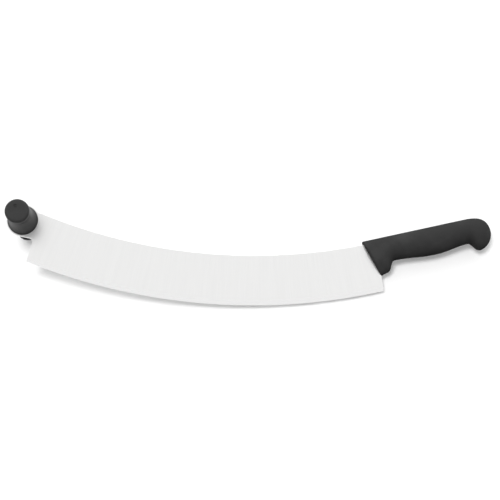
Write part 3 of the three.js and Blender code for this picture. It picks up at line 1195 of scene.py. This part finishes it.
@dataclass
class MainHandle:
    """Moulded handle over the tang, in millimetres on its own axes."""

    length: float = 139.7
    thickness: float = 24.0
    front_thickness: float = 19.0
    front_round: float = 1.5
    guard_tip: tuple[float, float] = Blade.guard_tip
    guard_back: tuple[float, float] = (18.9, 38.4)
    notch: tuple[float, float] = (30.2, 27.1)
    swell: tuple[float, float] = (75.6, 30.4)
    waist: tuple[float, float] = (112.4, 26.6)
    hook: tuple[float, float] = (122.8, 36.1)
    rear_t: float = 18.0
    back_straight: float = 115.0
    bend_lead: float = 0.39
    pommel_lead: float = 0.6
    pommel_arrival: float = 0.2
    thicken_share: float = 0.4
    round_share: float = 0.8
    section_power: float = 2.05
    pocket_gap: float = 0.05
    pocket_over: float = 1.0
    upright_from: float = 34.0
    smooth_angle: float = 35.0
    sides: int = 72
    rim_rings: int = 6
    rings: int = 96
    pommel_rings: int = 30
    finish: MouldedPlastic = MouldedPlastic(grey(0.036), grey(0.046), 0.60, 0.08, 0.02)

    def _back(self, s: float) -> float:
        """Depth of the back.

        Args:
            s: place along the handle.

        Returns:
            The depth.
        """
        turn = Bend(
            (
                (self.back_straight, 0.0),
                (lerp(self.back_straight, self.length, self.pommel_lead), 0.0),
                (self.length, self.rear_t * self.pommel_arrival),
                (self.length, self.rear_t),
            )
        )
        return turn.depth(s) if s > self.back_straight else 0.0

    def _underside(self, s: float) -> float:
        """Depth of the underside.

        Args:
            s: place along the handle.

        Returns:
            The depth.
        """
        tip, back, notch, hook = self.guard_tip, self.guard_back, self.notch, self.hook
        if s <= back[0]:
            return lerp(tip[1], back[1], (s - tip[0]) / (back[0] - tip[0]))
        middle = (back[0] + notch[0]) / 2
        bends = (
            Bend((back, (middle, back[1]), (middle, notch[1]), notch)),
            Bend.level(notch, self.swell, self.bend_lead),
            Bend.level(self.swell, self.waist, self.bend_lead),
            Bend.level(self.waist, hook, self.bend_lead),
            Bend(
                (
                    hook,
                    ((hook[0] + self.length) / 2, hook[1]),
                    (self.length, (hook[1] + self.rear_t) / 2),
                    (self.length, self.rear_t),
                )
            ),
        )
        return next(bend for bend in bends if s <= bend.end).depth(s)

    def _half_thickness(self, s: float) -> float:
        """Half of the thickness.

        Args:
            s: place along the handle.

        Returns:
            The half.
        """
        share = max(0.0, s / self.length)
        full = lerp(self.front_thickness, self.thickness, smooth(share, 0.0, self.thicken_share))
        rounding = max(0.0, (share - self.round_share) / (1 - self.round_share))
        return full / 2 * math.sqrt(max(0.0, 1 - rounding**2))

    def _rib(self, s: float) -> Rib:
        """Rib that leans with the front face near it and straightens farther back.

        Args:
            s: place of its top along the back.

        Returns:
            The rib.
        """
        lean = self.guard_tip[0] * (1 - smooth(s, 0.0, self.upright_from))
        return Rib(
            Vector((s, -self._back(s), 0.0)),
            Vector((s + lean, -self._underside(s + lean), 0.0)),
            self._half_thickness(s),
        )

    def _ribs(self) -> list[Rib]:
        """Ribs from the front face, round its eased rim and along the handle.

        Returns:
            The ribs, which stand closer round the pommel.
        """
        front = self._rib(0.0)
        eased = self._rib(self.front_round)
        rim = []
        for step in range(self.rim_rings):
            turn = math.pi / 2 * step / self.rim_rings
            inset = self.front_round * (1 - math.sin(turn))
            rim.append(front.between(eased, 1 - math.cos(turn), inset))
        straight = [
            lerp(self.front_round, self.back_straight, ring / self.rings) for ring in range(self.rings)
        ]
        reach = self.length - self.back_straight
        rounded = [
            self.back_straight + reach * math.sin(math.pi / 2 * ring / self.pommel_rings)
            for ring in range(self.pommel_rings + 1)
        ]
        return rim + [self._rib(s) for s in straight + rounded]

    def _loft(self) -> bpy.types.Object:
        """Draws the front face and extrudes it along the handle, turned and resized at each rib.

        Returns:
            The solid handle on its own axes.
        """
        ribs = self._ribs()
        first = ribs[0]
        points = []
        for side in range(self.sides):
            turn = math.tau * side / self.sides
            up, out = (
                math.copysign(abs(part) ** (2 / self.section_power), part)
                for part in (math.cos(turn), math.sin(turn))
            )
            points.append(first.middle + Vector((0.0, up * first.reach, out * first.half)))
        body = Pen(points[0]).line(*points[1:]).fill()
        Bench.turn(first.lean, first.middle)
        for before, rib in zip(ribs, ribs[1:]):
            bpy.ops.mesh.extrude_region_move(TRANSFORM_OT_translate={"value": rib.middle - before.middle})
            Bench.turn(-before.lean, rib.middle)
            size = (1.0, rib.reach / before.reach, rib.half / before.half)
            bpy.ops.transform.resize(value=size, center_override=rib.middle)
            Bench.turn(rib.lean, rib.middle)
        Bench.close(body)
        return body

    def build(self, blade: Blade) -> bpy.types.Object:
        """Models the handle in the blade's frame.

        Args:
            blade: whose tang it is moulded over.

        Returns:
            The handle.
        """
        body = self._loft()
        body.data.transform(blade.axes.place)
        tang = blade.tang(self.pocket_gap)
        forward = blade.axes.along * -(blade.tang_shoulder + self.front_round + self.pocket_over)
        heel_way = (tang.heel_top - tang.heel_start).normalized()
        under_guard = blade.axes.on(0.0, self.guard_tip[1] + self.pocket_over)
        low = lines_meet(tang.heel_start, heel_way, under_guard, blade.axes.along)
        pen = Pen(low + forward)
        pen.line(low, tang.heel_top, tang.lower_front)
        pen.line(tang.lower_end, tang.upper_end, tang.upper_front + forward)
        half = blade.thickness / 2 + self.pocket_gap
        pocket = pen.plate([-half, half])
        Bench.cut(pocket, blade.lock_holes(self.pocket_gap))
        Bench.cut(body, [pocket])
        return body

    def dress(self, lie: Lie, blade: Blade) -> bpy.types.Object:
        """Builds the handle, lays it in the row frame and gives it its finish.

        Args:
            lie: how the knife lies.
            blade: whose tang it is moulded over.

        Returns:
            The finished piece.
        """
        body = self.build(blade)
        Bench.lay(body, "handle_moulding", lie.place, self.smooth_angle)
        body.data.materials.append(self.finish.make("handle_plastic", lie.turn))
        settle(body, Slot.HANDLE, "main_handle")
        return body


@dataclass
class CrossGrip:
    """Two turned halves on the sides of the tongue, in millimetres."""

    seat: float = 1.27
    half_length: float = 45.5
    base_radius: float = 15.9
    base_round: float = 0.8
    flare: tuple[float, float] = (12.6, 6.0)
    shoulder: tuple[float, float] = (11.75, 33.2)
    neck: tuple[float, float] = (11.3, 35.2)
    head_radius: float = 12.5
    head_start: float = 37.3
    end_round: float = 3.4
    bore_radius: float = 4.0
    bore_end: float = 24.0
    holder_radius: float = 6.5
    holder: tuple[float, float] = (4.25, 22.85)
    ring_radius: float = 5.5
    ring: tuple[float, float] = (11.85, 15.25)
    gate: tuple[float, float] = (-1.6, 4.8)
    gate_radius: float = 1.7
    gate_pip_radius: float = 0.8
    gate_depth: float = 1.0
    gate_sides: int = 24
    smooth_angle: float = 35.0
    steps: int = 96
    base_steps: int = 4
    curve_steps: int = 10
    finish: MouldedPlastic = MouldedPlastic(grey(0.036), grey(0.044), 0.45, 0.08, 0.12)

    def build(self) -> bpy.types.Object:
        """Models the upper half in the blade's frame.

        Returns:
            The half.
        """

        def at(radius: float, height: float) -> Vector:
            """Point of the profile."""
            return Vector((radius, 0.0, height))

        pen = Pen(at(0.0, self.bore_end))
        pen.line(
            at(self.bore_radius, self.bore_end),
            at(self.bore_radius, self.holder[1]),
            at(self.holder_radius, self.holder[1]),
            at(self.holder_radius, self.ring[1]),
            at(self.ring_radius, self.ring[1]),
            at(self.ring_radius, self.ring[0]),
            at(self.holder_radius, self.ring[0]),
            at(self.holder_radius, self.holder[0]),
            at(self.bore_radius, self.holder[0]),
            at(self.bore_radius, self.seat),
            at(self.base_radius - self.base_round, self.seat),
        )
        base_top = at(self.base_radius, self.seat + self.base_round)
        pen.bend(at(self.base_radius, self.seat), base_top, self.base_steps)
        pen.bend(at(*self.flare), at(*self.shoulder), 2 * self.curve_steps)
        pen.bend(at(self.neck[0], self.shoulder[1]), at(*self.neck), self.curve_steps)
        pen.bend(at(self.neck[0], self.head_start), at(self.head_radius, self.head_start), self.curve_steps)
        pen.line(at(self.head_radius, self.half_length - self.end_round))
        pen.bend(
            at(self.head_radius, self.half_length),
            at(self.head_radius - self.end_round, self.half_length),
            self.curve_steps,
        )
        pen.line(at(0.0, self.half_length))
        half = pen.turned(self.steps)
        place = Vector((self.gate[0], self.gate[1], self.half_length))
        groove = Bench.rod(place, self.gate_radius, 2 * self.gate_depth, self.gate_sides)
        pip_length = CUT_THROUGH * self.gate_depth
        Bench.cut(groove, [Bench.rod(place, self.gate_pip_radius, pip_length, self.gate_sides)])
        Bench.cut(half, [groove])
        return half

    def dress(self, lie: Lie) -> list[bpy.types.Object]:
        """Builds both halves, lays them in the row frame and gives them their finish.

        Args:
            lie: how the knife lies.

        Returns:
            The finished pieces.
        """
        upper = self.build()
        lower = bpy.data.objects.new("lower", upper.data.copy())
        bpy.context.scene.collection.objects.link(lower)
        lower.data.transform(Matrix.Rotation(math.pi, 4, "X"))
        material = self.finish.make("grip_plastic", lie.turn)
        for half, name, node in (
            (upper, "upper_grip_half", "upper_grip"),
            (lower, "lower_grip_half", "lower_grip"),
        ):
            Bench.lay(half, name, lie.place, self.smooth_angle)
            half.data.materials.append(material)
            settle(half, Slot.GRIP, node)
        return [upper, lower]


@dataclass
class Fixings:
    """Stud and inserts inside the cross-grip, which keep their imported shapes."""

    stud: TurnedMetal = TurnedMetal(grey(0.50), grey(0.60), 0.32)
    insert: TurnedMetal = TurnedMetal((0.62, 0.46, 0.18, 1.0), (0.74, 0.58, 0.27, 1.0), 0.30)

    def dress(self, lie: Lie) -> list[bpy.types.Object]:
        """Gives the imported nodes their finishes.

        Args:
            lie: how the knife lies.

        Returns:
            The nodes.
        """
        brass = self.insert.make("turned_brass", lie.turn)
        finishes = {
            "grip_stud": self.stud.make("turned_steel", lie.turn),
            "upper_insert": brass,
            "lower_insert": brass,
        }
        for node, material in finishes.items():
            frame["nodes"][node].data.materials.clear()
            frame["nodes"][node].data.materials.append(material)
        return [frame["nodes"][node] for node in finishes]


@dataclass(frozen=True)
class Lamp:
    """One soft box that points at the middle of the table."""

    name: str
    place: tuple[float, float, float]
    width: float
    power: float
    shadow: bool = True
    mirrored: bool = True

    def hang(self) -> None:
        """Hangs the lamp."""
        data = bpy.data.lights.new(self.name, "AREA")
        data.shape = "DISK"
        data.size = self.width
        data.energy = self.power
        data.use_shadow = self.shadow
        lamp = bpy.data.objects.new(self.name, data)
        lamp.visible_glossy = self.mirrored
        bpy.context.scene.collection.objects.link(lamp)
        lamp.location = self.place
        lamp.rotation_euler = (-Vector(self.place)).to_track_quat("-Z", "Y").to_euler()


@dataclass
class Studio:
    """White table and soft light in metres, and the camera in millimetres of the blade's frame."""

    camera_place: tuple[float, float, float] = (174.482, -251.192, 1128.669)
    camera_aim: tuple[float, float, float] = (239.406, -24.154, 0.0)
    camera_up: tuple[float, float, float] = (-0.06418, 0.29779, 0.95247)
    lens: float = 78.4513
    sensor: float = 36.0
    floor_size: float = 12.0
    floor_drop: float = 0.007
    floor_level: float = 0.85
    floor_bounce: float = 0.05
    floor_glow: float = 0.02
    white_from: float = 0.7
    white_at: float = 1.5
    sky_front: float = 0.02
    sky_back: float = 0.90
    sky_top: float = 0.80
    sky_turn: tuple[float, float] = (-0.6, 0.6)
    sky_rise: tuple[float, float] = (0.55, 0.92)
    lamps: tuple[Lamp, ...] = (
        Lamp("key", (-0.60, -0.60, 3.0), 1.00, 57.0, mirrored=False),
        Lamp("back", (0.50, 1.35, 1.00), 0.80, 10.0, shadow=False),
    )

    def _floor(self) -> None:
        """Lays the table, which fades to plain white away from the knife."""
        Bench.clear()
        bpy.ops.mesh.primitive_plane_add(size=self.floor_size)
        floor = bpy.context.object
        floor.name = "table"
        floor.data.transform(Matrix.Translation(UP * -self.floor_drop))
        shader = Shader("white_table")
        seen = shader.seen()
        x, y, _ = shader.split(shader.node("ShaderNodeTexCoord", None, None, "Object"))
        far = (x * x + y * y).root().step(self.white_from, self.white_at)
        lit = shader.blend(far, grey(self.floor_level), grey(0.0))
        glow = shader.blend(far, grey(self.floor_glow), grey(1.0))
        floor.data.materials.append(
            shader.surface(
                Base_Color=shader.blend(seen, grey(self.floor_bounce), lit),
                Roughness=1.0,
                Specular_IOR_Level=0.0,
                Emission_Color=shader.blend(seen, grey(0.0), glow),
                Emission_Strength=1.0,
            )
        )

    def _sky(self) -> None:
        """Sets the soft light: bright behind and above, dark in front, and white where it is seen."""
        world = bpy.data.worlds.new("studio")
        bpy.context.scene.world = world
        world.use_nodes = True
        graph = Graph(world.node_tree)
        way = graph.node("ShaderNodeTexCoord", None, None, "Generated")
        _, y, z = graph.split(way)
        low = self.sky_front + y.step(*self.sky_turn) * (self.sky_back - self.sky_front)
        level = low + z.step(*self.sky_rise) * (self.sky_top - low)
        sockets = {"Color": grey(1.0), "Strength": graph.seen().above(level)}
        graph.end("ShaderNodeBackground", "ShaderNodeOutputWorld", sockets)

    def _camera(self, lie: Lie) -> None:
        """Sets the camera where the photograph was taken from.

        Args:
            lie: how the knife lies.
        """
        data = bpy.data.cameras.new("camera")
        data.lens = self.lens
        data.sensor_width = self.sensor
        camera = bpy.data.objects.new("camera", data)
        bpy.context.scene.collection.objects.link(camera)
        place = Vector(self.camera_place)
        back = (place - Vector(self.camera_aim)).normalized()
        right = Vector(self.camera_up).cross(back).normalized()
        turn = Matrix((right, back.cross(right), back)).transposed().to_4x4()
        camera.matrix_world = Matrix.Translation(lie.place @ place) @ lie.turn.to_3x3().to_4x4() @ turn
        bpy.context.scene.camera = camera

    def set_up(self, lie: Lie) -> None:
        """Sets up the table, the light and the camera.

        Args:
            lie: how the knife lies.
        """
        bpy.context.scene.view_settings.view_transform = "Standard"
        self._floor()
        self._sky()
        self._camera(lie)
        for lamp in self.lamps:
            lamp.hang()


def settle(piece: bpy.types.Object, slot: Slot, *nodes: str) -> None:
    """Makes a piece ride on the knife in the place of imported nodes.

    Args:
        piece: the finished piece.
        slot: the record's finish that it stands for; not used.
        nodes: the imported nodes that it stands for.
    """
    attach(piece, BODY)
    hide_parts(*nodes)


def main() -> None:
    """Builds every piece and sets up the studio."""
    logging.basicConfig(level=logging.INFO, format="%(name)s: %(message)s")
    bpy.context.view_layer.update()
    lie = Lie.of(frame["record"])
    blade = Blade()
    pieces = [blade.dress(lie), MainHandle().dress(lie, blade), *CrossGrip().dress(lie)]
    pieces += Fixings().dress(lie)
    for piece in pieces:
        LOG.info("%s: %d faces", piece.name, len(piece.data.polygons))
    Studio().set_up(lie)


if __name__ == "__main__":
    main()
